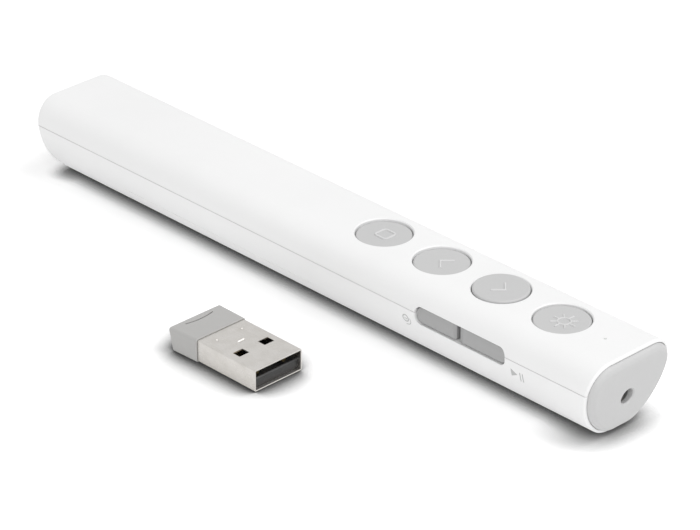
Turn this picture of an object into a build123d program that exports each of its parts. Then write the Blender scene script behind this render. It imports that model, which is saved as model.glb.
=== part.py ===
from build123d import *
import math
import os

# A hand-held presentation remote with a laser nose, and the USB radio receiver that belongs to it.
# Millimetres. +X runs from the tail to the nose, the side keys face -Y, +Z is up.
# The origin is the middle of the handset's length, on the flat strip that it stands on.

# ---- Handset body ----
body_width = 22.2
body_height = 17.4
shoulder_radius = 5.4
side_radius = 13.7
keel_radius = 6.0
rest_width = 3.5
wall = 1.6
nose_slant = 11.3
tail_slant = -6.0
tail_edge_radius = 0.4
nose_edge_radius = 0.45
seam_drop = 5.5
seam_groove_width = 0.12
seam_groove_depth = 0.1
lip_thickness = 0.75
lip_height = 0.9
lip_clearance = 0.1

# ---- Lengths along the handset, from the tail ----
tail_margin = 2.9
key_lead = 15.64
key_pitch = 15.52
nose_length = 17.4
nose_reach = 0.6

# ---- Top keys ----
key_hole_diameter = 11.4
key_gap = 0.2
key_hole_chamfer = 0.2
key_edge_radius = 0.35
key_flange = 0.65
key_flange_thickness = 0.8
key_float = 0.1
key_travel = 0.35
key_tops = (-0.45, -0.45, 0.3, -0.32)
stem_diameter = 2.6
icon_height = 0.22
icon_taper = 20
icon_stroke = 0.48
icon_places = ((0.25, 0.1), (0.5, 0.1), (0.35, -0.3), (0.8, -0.3))
icon_size = 3.5
icon_corner = 0.9
chevron_arm = 3.05
ring_diameter = 2.9
ray_length = 1.25
ray_stroke = 0.4

# ---- Switches under the keys ----
switch_width = 5.2
switch_height = 1.5
switch_corner = 0.6
plunger_diameter = 2.2
plunger_reach = 0.5
plunger_depth = 0.8
plunger_clearance = 0.1
stem_length = 0.7

# ---- Side keys ----
slot_length = 23.3
slot_height = 3.8
slot_radius = 1.5
slot_drop = 0.3
side_key_gap = 0.2
side_key_sink = 0.35
side_key_split = 0.9
side_key_split_offset = -1.0
side_key_bevels = (0.6, 1.3)
side_key_bevel_depth = 0.6
side_key_edge_radius = 0.3
side_key_travel = 0.3
side_flange = 0.8
side_flange_thickness = 0.7
side_switch_length = 4.6
side_switch_width = 2.8
side_switch_height = 1.6
side_switch_corner = 0.2
side_plunger_length = 1.4
side_plunger_height = 0.8
side_stem_length = 1.8

# ---- Main board ----
board_side_gap = 3.3
board_thickness = 1.0
board_corner = 1.0
board_nose_gap = 1.1
board_float = 0.15
board_tail_gap = 7.8
board_screw_offset = 5.5
radio_chip_size = (4.0, 4.0, 0.8)
crystal_size = (3.2, 2.5, 0.7)
crystal_offset = -4.4
coil_size = (3.0, 3.0, 1.4)
coil_offset = -4.0
coil_lead = 6.5
passive_size = (0.8, 1.4, 0.5)
passive_pitch = 1.6
passive_count = 6
passive_offset = 4.6
board_boss_diameter = 3.8

# ---- Battery bay ----
battery_diameter = 10.3
battery_length = 44.5
battery_nub_diameter = 3.8
battery_nub_length = 1.1
battery_edge_radius = 0.45
battery_clearance = 0.15
battery_lift = 0.45
spring_length = 3.3
spring_wire = 0.5
spring_turns = 3
spring_radius = 3.4
spring_tip_radius = 2.4
contact_thickness = 0.3
terminal_width = 8.0
terminal_strip = 2.0
terminal_reach = 3.0
bulkhead = 1.0
cover_height = 5.8
cover_gap = 0.12
cover_clearance = 0.3
cover_corner = 2.5
cover_tail_margin = 0.8
cover_nose_margin = 5.3
cover_tab_width = 7.0
cover_tab_reach = 1.6
cover_tab_thickness = 1.0
cover_tab_root = 3.0
rib_thickness = 1.2
cradle_places = (0.15, 0.5, 0.85)
cover_rib_places = (0.25, 0.75)
cover_rib_width = 9.0
cover_rib_drop = 2.0
grip_groove_count = 4
grip_groove_pitch = 1.4
grip_groove_radius = 0.3
grip_groove_lead = 4.0

# ---- Screws ----
shell_screw_offset = 4.2
shell_screw_diameter = 2.0
shell_screw_length = 7.0
shell_screw_head = 3.5
board_screw_diameter = 1.5
board_screw_length = 4.0
board_screw_head = 2.8
screw_clearance = 0.05
screw_pass_clearance = 0.2
shell_screw_setback = 2.0
shell_boss_wall = 1.1
screw_block_height = 2.9

# ---- Nose and laser ----
rim_thickness = 0.6
cap_gap = 0.1
cap_seat_depth = 2.8
cap_proud = 1.2
cap_wall = 1.5
cap_skirt = 1.2
cap_edge_radius = 1.3
cap_arm_length = 5.8
cap_arm_width = 3.0
cap_arm_offset = 3.8
cap_arm_thickness = 1.0
cap_hook = 0.5
cap_hook_length = 1.0
cap_arm_clearance = 0.2
cap_collar_wall = 1.1
cap_collar_overlap = 1.2
aperture_diameter = 3.2
aperture_chamfer = 0.25
laser_board_gap = 0.6
barrel_diameter = 5.6
barrel_length = 9.5
barrel_bore = 4.6
barrel_nose_gap = 3.3
barrel_clearance = 0.05
lens_thickness = 1.2
lens_curve_radius = 4.6
lens_recess = 0.6
diode_base_thickness = 1.2
diode_can_diameter = 3.2
diode_can_length = 2.2
diode_recess = 0.2
lead_diameter = 0.45
lead_pitch = 1.8
lead_length = 1.8
lead_bend = 0.8
saddle_height = 1.6
saddle_wall = 1.6
saddle_places = (0.18, 0.75)

# ---- Status light ----
light_offset = 6.75
light_hole_diameter = 0.6
light_pipe_diameter = 1.8
led_length = 1.6
led_width = 0.8
led_height = 0.8
light_pipe_gap = 0.1
light_pipe_clearance = 0.04
light_pipe_sink = 0.05

# ---- Receiver ----
plug_width = 12.0
plug_height = 4.5
plug_length = 15.9
plug_wall = 0.25
plug_corner = 0.25
plug_seated = 1.5
plug_window_length = 1.9
plug_window_width = 2.45
plug_window_setback = 6.8
plug_window_offset = 3.2
dimple_lead = 2.6
dimple_diameter = 0.8
dimple_depth = 0.15
seam_mark_length = 2.0
seam_mark_width = 0.8
seam_mark_depth = 0.15
seam_mark_lead = 5.8
grip_length = 7.8
grip_width = 12.6
grip_height = 5.0
grip_back_width = 13.3
grip_back_height = 4.8
grip_back_lean = 1.2
grip_wall = 0.9
grip_edge_radius = 0.6
grip_front_radius = 0.12
nail_groove_lead = 2.3
nail_groove_length = 7.0
nail_groove_width = 0.32
nail_groove_depth = 0.35
nail_groove_radius = 12.5
tongue_height = 1.9
tongue_length = 11.5
contact_width = 1.0
contact_length = 7.0
contact_height = 0.12
contact_places = ((-3.5, 2.2), (-1.0, 3.2), (1.0, 3.2), (3.5, 2.2))
tongue_setback = 0.8
tongue_clearance = 0.03
receiver_board_width = 10.4
receiver_board_thickness = 0.8
receiver_chip_size = 3.0
receiver_chip_height = 0.8
receiver_x = 18.64
receiver_y = -33.12
stow_clearance = 0.3
stow_proud = 1.2
stow_wall = 1.2
stow_height = 7.2

# ---- Places worked out from the sizes ----
SPAN = 3 * body_width
bite = 0.1
bay_length = battery_length + spring_length + 2 * contact_thickness
tail_length = plug_length + grip_length + tail_margin
body_length = tail_length + bay_length + key_lead + 3 * key_pitch + nose_length
tail_x = -(body_length + nose_reach) / 2
bay_tail = tail_x + tail_length
bay_nose = bay_tail + bay_length
key_x = [bay_nose + key_lead + index * key_pitch for index in range(4)]
nose_x = key_x[-1] + nose_length
ceiling = body_height - wall
seam_height = body_height - seam_drop
board_width = body_width - 2 * board_side_gap
cover_tail = bay_tail - cover_tail_margin
cover_nose = bay_nose + cover_nose_margin
inner_floor = cover_height + cover_clearance
flange_top = ceiling - key_float
flange_bottom = flange_top - key_flange_thickness
switch_top = flange_bottom - stem_length - plunger_reach
board_top = switch_top - switch_height
board_bottom = board_top - board_thickness
laser_height = board_bottom - laser_board_gap - barrel_diameter / 2
battery_height = wall + battery_lift + battery_diameter / 2
battery_nose = bay_nose - contact_thickness
battery_tail = battery_nose - battery_length
strip_bottom = board_bottom - contact_thickness
slot_x = key_x[2]
slot_z = seam_height - slot_drop
split_x = slot_x + side_key_split_offset
light_x = nose_x - light_offset
nose_slope = math.tan(math.radians(nose_slant))
tail_slope = math.tan(math.radians(tail_slant))

# The half section is a chain of tangent arcs: flat top, shoulder, side, keel and flat rest strip.
shoulder_centre = (body_width / 2 - shoulder_radius, body_height - shoulder_radius)
keel_centre = (rest_width / 2, keel_radius)
chord = math.dist(shoulder_centre, keel_centre)
to_shoulder = side_radius - shoulder_radius
to_keel = side_radius - keel_radius
along = (to_shoulder**2 - to_keel**2 + chord**2) / (2 * chord)
across = math.sqrt(to_shoulder**2 - along**2)
lean = ((keel_centre[0] - shoulder_centre[0]) / chord, (keel_centre[1] - shoulder_centre[1]) / chord)
side_centre = (
    shoulder_centre[0] + lean[0] * along + lean[1] * across,
    shoulder_centre[1] + lean[1] * along - lean[0] * across,
)


def bearing(start, end):
    """Angle in degrees from one section point to another."""
    return math.degrees(math.atan2(end[1] - start[1], end[0] - start[0]))


side_start = bearing(side_centre, shoulder_centre)
side_end = bearing(side_centre, keel_centre)


def on_circle(centre, radius, angle):
    """Point of a circle at an angle in degrees."""
    turn = math.radians(angle)
    return (centre[0] + radius * math.cos(turn), centre[1] + radius * math.sin(turn))


def section(inset=0.0):
    """Handset cross-section in the YZ plane, moved inwards by inset."""
    arcs = (
        (shoulder_centre, shoulder_radius, 90, side_start),
        (side_centre, side_radius, side_start, side_end),
        (keel_centre, keel_radius, side_end, -90),
    )
    edges = []
    for side in (1, -1):
        for centre, radius, start, end in arcs:
            points = [on_circle(centre, radius - inset, a) for a in (start, (start + end) / 2, end)]
            edges.append(ThreePointArc(*[(side * y, z) for y, z in points]))
    for y, z in ((shoulder_centre[0], body_height - inset), (keel_centre[0], inset)):
        edges.append(Line((-y, z), (y, z)))
    return Plane.YZ * make_face(edges)


def slab(back, front, back_slope, front_slope):
    """Everything between two leaning planes, placed by where they cross the top of the body."""
    low, high = -2 * body_height, 2 * body_height
    corners = (
        (back + back_slope * (low - body_height), low),
        (front + front_slope * (low - body_height), low),
        (front + front_slope * (high - body_height), high),
        (back + back_slope * (high - body_height), high),
    )
    return extrude(Plane.XZ * make_face(Polyline(*corners, close=True)), SPAN, both=True)


def core(inset):
    """Body form moved inwards by inset at the tail and all round, and open through the nose."""
    bar = extrude(section(inset), body_length, both=True)
    tail = tail_x + inset / math.cos(math.radians(tail_slant))
    return bar & slab(tail, nose_x + body_width, tail_slope, nose_slope)


def nose_slice(inset, back, front):
    """Body form moved inwards by inset, between two planes parallel to the nose face."""
    bar = extrude(section(inset), body_length, both=True)
    return bar & slab(nose_x + back, nose_x + front, nose_slope, nose_slope)


def block(x, y, z):
    """Box from its low and high limits along each axis."""
    centre = Pos((x[0] + x[1]) / 2, (y[0] + y[1]) / 2, (z[0] + z[1]) / 2)
    return centre * Box(x[1] - x[0], y[1] - y[0], z[1] - z[0])


def disc(x, y, z, diameter):
    """Upright cylinder between two heights."""
    return Pos(x, y, (z[0] + z[1]) / 2) * Cylinder(diameter / 2, z[1] - z[0])


def rod(x, y, z, diameter):
    """Cylinder along X between two places."""
    return Pos((x[0] + x[1]) / 2, y, z) * Rot(0, 90, 0) * Cylinder(diameter / 2, x[1] - x[0])


def window(x, z, length, height, radius):
    """Rounded rectangle in side view, cut right across the handset."""
    return extrude(Plane.XZ * Pos(x, z) * RectangleRounded(length, height, radius), SPAN, both=True)


def above(height):
    """Half space over a height."""
    return block((-SPAN * 3, SPAN * 3), (-SPAN, SPAN), (height, SPAN))


def below(height):
    """Half space under a height."""
    return block((-SPAN * 3, SPAN * 3), (-SPAN, SPAN), (-SPAN, height))


def screw(diameter, length, head_diameter):
    """Pan-head self-tapping screw standing on its head, with a cross recess."""
    head_height = head_diameter / 3
    body = Pos(0, 0, head_height / 2) * Cylinder(head_diameter / 2, head_height)
    body = fillet(body.edges().group_by(Axis.Z)[0], head_height / 3)
    tip = diameter / 2
    body += Pos(0, 0, head_height + (length - tip) / 2) * Cylinder(diameter / 2, length - tip)
    body += Pos(0, 0, head_height + length - tip / 2) * Cone(diameter / 2, diameter / 8, tip)
    for turn in (0, 90):
        arm = Box(head_diameter * 0.6, head_diameter * 0.15, head_height)
        body -= Rot(0, 0, turn) * arm
    return body


# ---- Shells ----
def edges_on(form, top_x, slope):
    """Edges of a form that lie on a leaning plane, placed by where it crosses the top of the body."""
    found = []
    for edge in form.edges():
        points = (edge @ 0, edge @ 0.5, edge @ 1)
        if all(abs(p.X - top_x - slope * (p.Z - body_height)) < 0.01 for p in points):
            found.append(edge)
    return found


def outer_body():
    """Closed outer form, with its tail and nose edges rounded."""
    bar = extrude(section(), body_length, both=True) & slab(tail_x, nose_x, tail_slope, nose_slope)
    bar = fillet(edges_on(bar, tail_x, tail_slope), tail_edge_radius)
    return fillet(edges_on(bar, nose_x, nose_slope), nose_edge_radius)


outer = outer_body()
skin = outer - core(wall)
mouth = nose_slice(rim_thickness, -cap_seat_depth, SPAN)
slot_cut = window(slot_x, slot_z, slot_length, slot_height, slot_radius)
slot_cut &= block((-SPAN * 3, SPAN * 3), (-SPAN, -body_width / 4), (0, SPAN))
cover_form = window(
    (cover_tail + cover_nose) / 2,
    cover_height - body_height / 2,
    cover_nose - cover_tail,
    body_height,
    cover_corner,
)
cover_cut = window(
    (cover_tail + cover_nose) / 2,
    cover_height - body_height / 2,
    cover_nose - cover_tail + 2 * cover_gap,
    body_height,
    cover_corner + cover_gap,
)
shell_screws = [(cover_nose - shell_screw_setback, side * shell_screw_offset) for side in (1, -1)]
board_screws = [(key_x[0] + key_pitch / 2, side * board_screw_offset) for side in (1, -1)]
board_screws.append((key_x[2] + key_pitch / 2, board_screw_offset))
seat_floor = inner_floor + screw_block_height
full_width = (-body_width, body_width)
tops_edge = nose_x - cap_seat_depth
hook_x = tops_edge - cap_arm_length
hook_span = (hook_x - 1.5 * cap_arm_clearance, hook_x + cap_hook_length + 1.5 * cap_arm_clearance)
arm_reach = cap_arm_width / 2 + cap_arm_clearance


def groove_ring(height):
    """Shallow groove round the outside, centred on a parting line."""
    band = above(height - seam_groove_width / 2) & below(height + seam_groove_width / 2)
    return (outer - core(seam_groove_depth)) & band


cover_span = block((cover_tail, cover_nose), (-SPAN, SPAN), (0, SPAN))


def top_shell():
    """Upper casing: key holes, light hole, upper half of the side slot, bosses and ribs."""
    shell = (skin & above(seam_height)) - (
        core(wall - lip_thickness - lip_clearance) & below(seam_height + lip_height)
    )
    shell -= groove_ring(seam_height)
    shell -= mouth
    inside = core(wall / 2) & above(seam_height + lip_height)
    shell_boss_diameter = shell_screw_diameter + 2 * shell_boss_wall
    for x, y in shell_screws:
        shell += disc(x, y, (seat_floor, body_height), shell_boss_diameter) & core(wall / 2)
    for x, y in board_screws:
        shell += disc(x, y, (board_top, body_height), board_boss_diameter) & core(wall / 2)
    for share in cradle_places:
        x = battery_tail + share * battery_length
        shell += block((x, x + rib_thickness), full_width, (0, body_height)) & inside
    for x, y in shell_screws:
        shell -= disc(x, y, (0, ceiling), shell_screw_diameter + 2 * screw_clearance)
    for x, y in board_screws:
        shell -= disc(x, y, (0, ceiling), board_screw_diameter + 2 * screw_clearance)
    for x in key_x:
        shell -= disc(x, 0, (ceiling - wall, SPAN), key_hole_diameter)
        rim = Cone(
            key_hole_diameter / 2, key_hole_diameter / 2 + key_hole_chamfer, key_hole_chamfer
        )
        shell -= Pos(x, 0, body_height - key_hole_chamfer / 2) * rim
    shell -= disc(light_x, 0, (ceiling - wall, SPAN), light_hole_diameter)
    for side in (1, -1):
        y = side * cap_arm_offset
        shell -= block(hook_span, (y - arm_reach, y + arm_reach), (0, ceiling + cap_hook + cap_gap))
    return shell - slot_cut


def bottom_shell():
    """Lower casing: lip, battery opening, receiver bay, battery cradle and laser saddles."""
    shell = (skin & below(seam_height)) - cover_cut
    lip = (core(wall - lip_thickness) - core(wall)) & below(seam_height + lip_height)
    shell += lip & above(seam_height - bite)
    shell -= groove_ring(seam_height)
    shell -= groove_ring(cover_height) & cover_span
    shell -= mouth
    rooted = core(wall / 2)
    clear = core(wall + cover_clearance)
    cell = rod((tail_x, nose_x), 0, battery_height, battery_diameter + 2 * battery_clearance)
    # Receiver bay: a sleeve behind the tail face, wide for the grip and then narrow for the plug.
    bay_back = tail_x - tail_slope * (body_height - stow_height)
    grip_end = bay_back + grip_length - stow_proud + stow_clearance
    bay_end = grip_end + plug_length
    half_width = grip_back_width / 2 + stow_clearance / 2
    half_height = grip_height / 2 + stow_clearance / 2
    sleeve = block(
        (tail_x - SPAN, bay_end + stow_wall),
        (-half_width - stow_wall, half_width + stow_wall),
        (stow_height - half_height - stow_wall, stow_height + half_height + stow_wall),
    )
    shell += sleeve & core(wall / 4)
    shell -= block(
        (tail_x - SPAN, grip_end),
        (-half_width, half_width),
        (stow_height - half_height, stow_height + half_height),
    )
    plug_half = plug_width / 2 + stow_clearance / 2
    plug_rise = plug_height / 2 + stow_clearance / 2
    shell -= block(
        (tail_x - SPAN, bay_end),
        (-plug_half, plug_half),
        (stow_height - plug_rise, stow_height + plug_rise),
    )
    # Battery bay: two bulkheads, with three pairs of ribs that cradle the cell.
    contact_span = (-terminal_width / 2, terminal_width / 2)
    for x in ((bay_tail - bulkhead, bay_tail), (bay_nose, bay_nose + bulkhead)):
        shell += block(x, full_width, (inner_floor, strip_bottom)) & rooted
        shell += block(x, contact_span, (2 * wall, inner_floor + bulkhead)) & clear
    for share in cradle_places:
        x = battery_tail + share * battery_length
        shell += (block((x, x + rib_thickness), full_width, (inner_floor, strip_bottom)) & rooted) - cell
    # Block that takes the two casing screws, under the cover's nose end.
    block_x = (bay_nose + bulkhead / 2, cover_nose + wall / 2)
    shell += block(block_x, full_width, (inner_floor, seat_floor)) & rooted
    for x, y in shell_screws:
        shell -= disc(x, y, (0, seam_height), shell_screw_diameter + 2 * screw_pass_clearance)
    # Saddles that the laser barrel snaps into.
    barrel = rod((bay_nose + key_lead, nose_x), 0, laser_height, barrel_diameter + 2 * barrel_clearance)
    half_saddle = barrel_diameter / 2 + saddle_wall
    for share in saddle_places:
        x = barrel_tail + share * barrel_length
        rib = block(
            (x - rib_thickness / 2, x + rib_thickness / 2),
            (-half_saddle, half_saddle),
            (0, laser_height + saddle_height),
        )
        shell += (rib & rooted) - barrel - cap_arm_way
    shell -= block(hook_span, (-arm_reach, arm_reach), (wall - cap_hook - cap_gap, 2 * wall))
    return shell - slot_cut


# ---- Nose cap and laser ----
laser_plane = nose_x - nose_slope * (body_height - laser_height)
cap_inner = laser_plane + cap_proud - cap_wall
barrel_nose = cap_inner - barrel_nose_gap
barrel_tail = barrel_nose - barrel_length
cap_arm_way = block(
    (tail_x, nose_x), (-arm_reach, arm_reach), (0, wall + cap_arm_thickness + 2 * cap_arm_clearance)
)


def nose_cap():
    """End cap with the laser aperture, a collar for the barrel and three snap arms."""
    cup = nose_slice(rim_thickness + cap_gap, -cap_seat_depth, cap_proud)
    cup = fillet(edges_on(cup, nose_x + cap_proud, nose_slope), cap_edge_radius)
    cup -= nose_slice(rim_thickness + cap_gap + cap_skirt, -SPAN, cap_proud - cap_wall)
    front_limit = slab(tail_x, nose_x + cap_proud - cap_wall / 2, 0, nose_slope)
    collar_back = barrel_nose - cap_collar_overlap
    collar = rod((collar_back, nose_x), 0, laser_height, barrel_diameter + 2 * cap_collar_wall)
    cup += collar & front_limit & below(board_bottom - board_float)
    cup -= rod((collar_back - bite, cap_inner), 0, laser_height, barrel_diameter + 2 * barrel_clearance)
    cup -= rod((barrel_nose, nose_x + SPAN), 0, laser_height, aperture_diameter)
    front_edges = edges_on(cup, nose_x + cap_proud, nose_slope)
    cup = chamfer([edge for edge in front_edges if edge.length < 4 * aperture_diameter], aperture_chamfer)
    top = ceiling - cap_arm_clearance
    hook = (hook_x, hook_x + cap_hook_length)
    for side in (1, -1):
        y = side * cap_arm_offset
        across_arm = (y - cap_arm_width / 2, y + cap_arm_width / 2)
        cup += block((hook_x, nose_x + cap_proud), across_arm, (top - cap_arm_thickness, top)) & front_limit
        cup += block(hook, across_arm, (top - bite, ceiling + cap_hook - cap_gap))
    low = wall + cap_arm_clearance
    across_arm = (-cap_arm_width / 2, cap_arm_width / 2)
    cup += block((hook_x, nose_x + cap_proud), across_arm, (low, low + cap_arm_thickness)) & front_limit
    cup += block(hook, across_arm, (wall - cap_hook + cap_gap, low + bite))
    return cup


def laser_barrel():
    """Metal tube that holds the diode and the lens."""
    return rod((barrel_tail, barrel_nose), 0, laser_height, barrel_diameter) - rod(
        (barrel_tail - bite, barrel_nose + bite), 0, laser_height, barrel_bore
    )


def laser_lens():
    """Plano-convex collimating lens near the barrel's mouth."""
    blank = disc(0, 0, (0, lens_thickness + bite), barrel_bore - barrel_clearance)
    lens = blank & Pos(0, 0, lens_thickness - lens_curve_radius) * Sphere(lens_curve_radius)
    return Pos(barrel_nose - lens_recess - lens_thickness, 0, laser_height) * Rot(0, 90, 0) * lens


def laser_diode():
    """Diode can on its base, pressed into the back of the barrel."""
    back = barrel_tail + diode_recess
    base = rod((back, back + diode_base_thickness), 0, laser_height, barrel_bore - barrel_clearance)
    can_front = back + diode_base_thickness + diode_can_length
    can = rod((back + diode_base_thickness, can_front), 0, laser_height, diode_can_diameter)
    return base + fillet(can.edges().group_by(Axis.X)[-1], 0.3)


def laser_leads():
    """Two bent leads from the diode's base up to the underside of the board."""
    start = barrel_tail + diode_recess
    turn = start - lead_length
    leads = []
    for side in (1, -1):
        y = side * lead_pitch / 2
        path = FilletPolyline(
            (start, y, laser_height), (turn, y, laser_height), (turn, y, board_bottom), radius=lead_bend
        )
        profile = Plane(origin=(start, y, laser_height), z_dir=(-1, 0, 0)) * Circle(lead_diameter / 2)
        leads.append(sweep(profile, path))
    return leads


# ---- Top keys ----
def screen_icon():
    """Rounded square outline."""
    inner = icon_size - 2 * icon_stroke
    outline = RectangleRounded(icon_size, icon_size, icon_corner)
    return outline - RectangleRounded(inner, inner, icon_corner - icon_stroke)


def chevron_icon(direction):
    """Two strokes that meet in a point towards the tail (-1) or the nose (1)."""
    tilt = 45 * direction
    arm = Pos(-direction * (chevron_arm - icon_stroke) / 2, 0) * Rectangle(chevron_arm, icon_stroke)
    middle = direction * chevron_arm / 3
    return Pos(middle, 0) * (Rot(0, 0, tilt) * arm + Rot(0, 0, -tilt) * arm)


def sun_icon():
    """Ring with eight rays."""
    icon = Circle(ring_diameter / 2) - Circle(ring_diameter / 2 - ray_stroke)
    reach = ray_length + ray_stroke
    ray = Pos(ring_diameter / 2 + ray_length - reach / 2, 0) * Rectangle(reach, ray_stroke)
    for turn in range(8):
        icon += Rot(0, 0, 45 * turn) * ray
    return icon


def top_key(x, drop, icon, icon_place):
    """Round key: cap with a raised icon, flange under the casing and a stem to its switch."""
    top = body_height + drop
    cap_diameter = key_hole_diameter - 2 * key_gap
    cap = disc(0, 0, (flange_top - bite, top), cap_diameter)
    cap = fillet(cap.edges().group_by(Axis.Z)[-1], key_edge_radius)
    key = cap + disc(0, 0, (flange_bottom, flange_top), key_hole_diameter + 2 * key_flange)
    key += disc(0, 0, (flange_bottom - stem_length, flange_bottom + bite), stem_diameter)
    key += Pos(*icon_place, top - bite) * extrude(icon, icon_height + bite, taper=icon_taper)
    return Pos(x, 0, 0) * key


def key_switch(x):
    """Body of a tact switch, bored for its plunger."""
    body = block(
        (x - switch_width / 2, x + switch_width / 2),
        (-switch_width / 2, switch_width / 2),
        (board_top, switch_top),
    )
    body = chamfer(body.edges().filter_by(Axis.Z), switch_corner)
    depth = plunger_depth + key_travel + plunger_clearance
    return body - disc(x, 0, (switch_top - depth, SPAN), plunger_diameter + 2 * plunger_clearance)


def key_plunger(x):
    """Plunger of a tact switch, under its key's stem."""
    return disc(x, 0, (switch_top - plunger_depth, switch_top + plunger_reach), plunger_diameter)


# ---- Side keys ----
side_switch_z = board_top + side_switch_height / 2
side_stem_tip = -board_width / 2 - plunger_reach
slot_tail = slot_x - slot_length / 2
slot_nose = slot_x + slot_length / 2
side_key_x = ((slot_tail + slot_x) / 2, (slot_nose + slot_x) / 2)


def rims_key(edge, split):
    """Whether an edge runs round the outward face of a side key, away from the split."""
    middle = edge @ 0.5
    return middle.Y < wall - body_width / 2 and abs(middle.X - split) > bite and edge.length > side_key_sink


def side_key(x, side, bevel_length):
    """Half of the side rocker pair: side is -1 for the tail half and 1 for the nose half."""
    split = split_x + side * side_key_split / 2
    far = slot_x + side * (slot_length / 2 + side_flange)
    span_x = (min(split, far), max(split, far))
    face = window(
        slot_x,
        slot_z,
        slot_length - 2 * side_key_gap,
        slot_height - 2 * side_key_gap,
        slot_radius - side_key_gap,
    )
    side_space = block(span_x, (-SPAN, 0), (0, SPAN))
    key = (face & core(side_key_sink) & side_space) - core(wall + side_flange_thickness)
    key = fillet([edge for edge in key.edges() if rims_key(edge, split)], side_key_edge_radius)
    deep = side_key_sink + side_key_bevel_depth - body_width / 2
    bevel = Polyline(
        (split, deep),
        (split, deep - 4 * side_key_bevel_depth),
        (split + side * 4 * bevel_length, deep - 4 * side_key_bevel_depth),
        close=True,
    )
    key -= extrude(make_face(bevel), SPAN)
    flange_z = (slot_z - slot_height / 2 - side_flange, slot_z + slot_height / 2 + side_flange)
    flange = (core(wall + key_float) - core(wall + side_flange_thickness)) & side_space
    key += flange & block(span_x, (-SPAN, 0), flange_z)
    stem = block(
        (x - side_stem_length / 2, x + side_stem_length / 2),
        (wall + side_flange_thickness / 2 - body_width / 2, side_stem_tip),
        (side_switch_z - side_plunger_height / 2, side_switch_z + side_plunger_height / 2),
    )
    return key + stem


def side_switch(x):
    """Right-angle tact switch body at the board's edge."""
    body = block(
        (x - side_switch_length / 2, x + side_switch_length / 2),
        (-board_width / 2, -board_width / 2 + side_switch_width),
        (board_top, board_top + side_switch_height),
    )
    body = chamfer(body.edges().filter_by(Axis.Y), side_switch_corner)
    return body - block(
        (x - side_plunger_length / 2 - plunger_clearance, x + side_plunger_length / 2 + plunger_clearance),
        (-SPAN, -board_width / 2 + plunger_depth + side_key_travel + plunger_clearance),
        (
            side_switch_z - side_plunger_height / 2 - plunger_clearance,
            side_switch_z + side_plunger_height / 2 + plunger_clearance,
        ),
    )


def side_plunger(x):
    """Plunger of a right-angle switch, in front of its key's stem."""
    return block(
        (x - side_plunger_length / 2, x + side_plunger_length / 2),
        (side_stem_tip, -board_width / 2 + plunger_depth),
        (side_switch_z - side_plunger_height / 2, side_switch_z + side_plunger_height / 2),
    )


# ---- Board and its parts ----
board_tail = bay_nose + board_tail_gap
board_nose = nose_x - cap_seat_depth - nose_slope * (body_height - board_bottom) - board_nose_gap
chip_x = key_x[1] + key_pitch / 2


def main_board():
    """Circuit board, hung from three bosses of the upper casing."""
    board = block((board_tail, board_nose), (-board_width / 2, board_width / 2), (board_bottom, board_top))
    board = fillet(board.edges().filter_by(Axis.Z), board_corner)
    for x, y in board_screws:
        board -= disc(x, y, (0, SPAN), board_screw_diameter + 2 * screw_clearance)
    return board


def chip(x, y, length, width, height):
    """Flat component under the board."""
    body = Pos(x, y, board_bottom - height / 2) * Box(length, width, height)
    return chamfer(body.edges().group_by(Axis.Z)[0], height / 6)


def board_passives():
    """Row of small resistors and capacitors under the board."""
    start = chip_x - passive_pitch * (passive_count - 1) / 2
    places = [start + passive_pitch * step for step in range(passive_count)]
    return [chip(x, passive_offset, *passive_size) for x in places]


def status_led():
    """Surface-mount lamp under the light hole."""
    return Pos(light_x, 0, board_top + led_height / 2) * Box(led_length, led_width, led_height)


def light_pipe():
    """Stepped clear rod from the lamp to the pinhole in the upper casing."""
    foot = disc(light_x, 0, (board_top + led_height + light_pipe_gap, ceiling), light_pipe_diameter)
    tip_diameter = light_hole_diameter - 2 * light_pipe_clearance
    return foot + disc(light_x, 0, (ceiling - bite, body_height - light_pipe_sink), tip_diameter)


# ---- Battery, contacts and cover ----
def battery_cell():
    """Round cell with its raised positive nub."""
    can = rod((battery_tail, battery_nose - battery_nub_length), 0, battery_height, battery_diameter)
    can = fillet(can.edges(), battery_edge_radius)
    nub_back = battery_nose - battery_nub_length - bite
    nub = rod((nub_back, battery_nose), 0, battery_height, battery_nub_diameter)
    return can + fillet(nub.edges().group_by(Axis.X)[-1], battery_edge_radius)


def positive_contact():
    """Sheet contact in front of the cell, with a strip that reaches under the board."""
    half = terminal_width / 2
    plate = block((bay_nose - contact_thickness, bay_nose), (-half, half), (2 * wall, board_bottom))
    strip = block(
        (bay_nose - contact_thickness, board_tail + terminal_reach),
        (-terminal_strip / 2, terminal_strip / 2),
        (strip_bottom, board_bottom),
    )
    return plate + strip


def negative_contact():
    """Sheet contact behind the cell, with a long strip along the bay to the board."""
    half = terminal_width / 2
    sheet = (bay_tail, bay_tail + contact_thickness)
    edge = board_width / 2
    plate = block(sheet, (-half, half), (2 * wall, board_bottom))
    cross = block(sheet, (0, edge), (strip_bottom - terminal_strip / 2, board_bottom))
    strip = block(
        (bay_tail, board_tail + terminal_reach),
        (edge - terminal_strip / 2, edge),
        (strip_bottom, board_bottom),
    )
    return plate + cross + strip


def battery_spring():
    """Conical coil that presses the cell forwards."""
    start = bay_tail + contact_thickness + spring_wire / 2
    height = spring_length - 1.5 * spring_wire
    steps = 8 * spring_turns
    points = []
    for step in range(steps + 1):
        share = step / steps
        radius = spring_radius + share * (spring_tip_radius - spring_radius)
        turn = 2 * math.pi * spring_turns * share
        rise = radius * math.sin(turn)
        points.append((start + height * share, radius * math.cos(turn), battery_height + rise))
    path = Wire([ThreePointArc(*points[step : step + 3]) for step in range(0, steps, 2)])
    profile = Plane(origin=path @ 0, z_dir=path % 0) * Circle(spring_wire / 2)
    return sweep(profile, path)


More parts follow.
